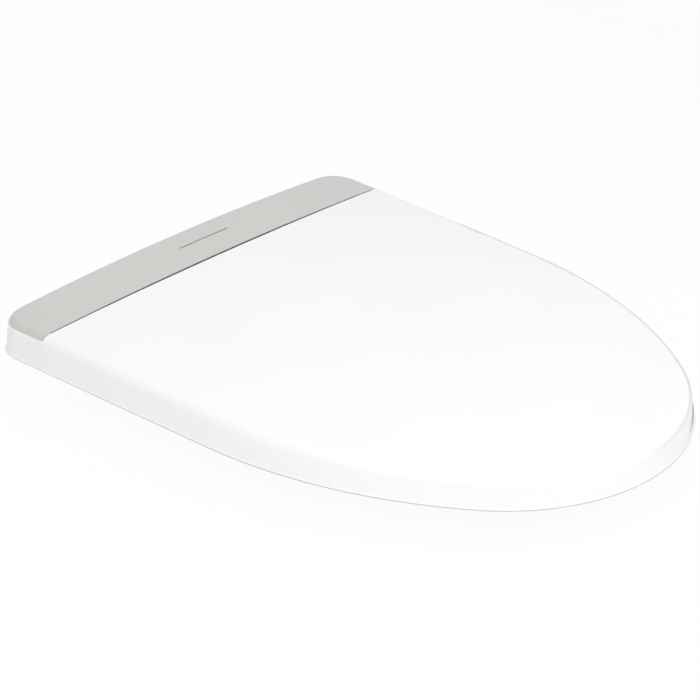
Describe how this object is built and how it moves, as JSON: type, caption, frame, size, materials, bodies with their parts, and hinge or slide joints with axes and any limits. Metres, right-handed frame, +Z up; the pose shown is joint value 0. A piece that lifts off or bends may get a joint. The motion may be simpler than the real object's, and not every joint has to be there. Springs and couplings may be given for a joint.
{
  "type": "electric bidet seat",
  "caption": "Closed electric bidet toilet seat: crowned tapering white lid, heated seat ring, extending spray nozzle, warm air dryer and a grey panel across the rear housing.",
  "frame": {"origin": "midway between the two bolt slots, on the underside of the mounting plate where it meets the bowl rim", "axes": "+X across the seat, -Y toward the nose of the seat, +Z up from the bowl rim"},
  "size_m": [0.3978, 0.521, 0.0615],
  "materials": {
    "white_gloss": "smooth gloss moulded white",
    "seat_white": "smooth satin moulded white",
    "panel_grey": "fine satin warm grey",
    "tray_white": "satin moulded white",
    "smoked_lens": "smoked lens",
    "grey_rubber": "soft grey rubber",
    "steel": "turned steel",
    "dark_plastic": "black moulded",
    "mid_plastic": "grey moulded",
    "wand_white": "smooth gloss",
    "board_green": "solder mask",
    "heater_foil": "rolled foil",
    "brass": "turned",
    "zinc_steel": "zinc plated"
  },
  "bodies": {
    "base": {"base_tray": "tray_white", "base_cover": "white_gloss", "top_panel": "panel_grey", "status_window": "smoked_lens", "hinge_bracket_left": "mid_plastic", "hinge_bracket_right": "mid_plastic", "seat_damper": "dark_plastic", "lid_damper": "dark_plastic", "bracket_screws": "zinc_steel", "mounting_plate": "mid_plastic", "base_feet": "grey_rubber", "nozzle_guide": "mid_plastic", "nozzle_motor": "zinc_steel", "blower_case": "dark_plastic", "blower_motor": "zinc_steel", "dryer_duct": "dark_plastic", "water_heater": "mid_plastic", "water_pump": "dark_plastic", "inlet_valve": "mid_plastic", "water_inlet": "brass", "cord_gland": "dark_plastic", "main_board": "board_green", "power_board": "board_green", "board_posts": "zinc_steel", "deodorizer_sleeve": "mid_plastic", "release_switch": "dark_plastic"},
    "seat": {"seat_upper": "seat_white", "seat_lower": "seat_white", "seat_heater": "heater_foil", "seat_bumpers": "grey_rubber", "seat_shaft": "steel"},
    "lid": {"lid_shell": "white_gloss", "lid_bumpers": "grey_rubber", "lid_shaft": "steel"},
    "nozzle": {"nozzle_wand": "wand_white", "nozzle_tip": "wand_white"},
    "pinion": {"nozzle_pinion": "wand_white"},
    "impeller": {"blower_impeller": "mid_plastic"},
    "flap": {"dryer_flap": "white_gloss"},
    "cartridge": {"deodorizer_cartridge": "white_gloss"},
    "button": {"release_button": "white_gloss"}
  },
  "joints": [
    {"name": "seat_hinge", "type": "hinge", "parent": "base", "child": "seat", "pos_m": [0, -0.0334, 0.0515], "axis": [-1, 0, 0], "range_deg": [0, 100]},
    {"name": "lid_hinge", "type": "hinge", "parent": "seat", "child": "lid", "pos_m": [0, -0.0334, 0.0515], "axis": [1, 0, 0], "range_deg": [-105, 0]},
    {"name": "nozzle_slide", "type": "slide", "parent": "base", "child": "nozzle", "axis": [0, -0.9781, -0.2079], "range_m": [0, 0.075]},
    {"name": "pinion_spin", "type": "hinge", "parent": "base", "child": "pinion", "pos_m": [0.01454, -0.05053, 0.01616], "axis": [0, -0.2079, 0.9781], "range_deg": [-2, 566]},
    {"name": "impeller_spin", "type": "hinge", "parent": "base", "child": "impeller", "pos_m": [0.116, 0.01, 0.015], "axis": [0, 0, 1], "continuous": true},
    {"name": "flap_hinge", "type": "hinge", "parent": "base", "child": "flap", "pos_m": [0.0365, -0.0708, 0.0204], "axis": [-1, 0, 0], "range_deg": [0, 60]},
    {"name": "cartridge_slide", "type": "slide", "parent": "base", "child": "cartridge", "axis": [0, 1, 0], "range_m": [0, 0.03]},
    {"name": "button_press", "type": "slide", "parent": "base", "child": "button", "axis": [-1, 0, 0], "range_m": [0, 0.004], "stiffness_N_per_m": 400, "springref_m": -0.001}
  ],
  "couplings": [
    {"joint": "pinion_spin", "follows": "nozzle_slide", "rad_per_m": 130.9}
  ]
}
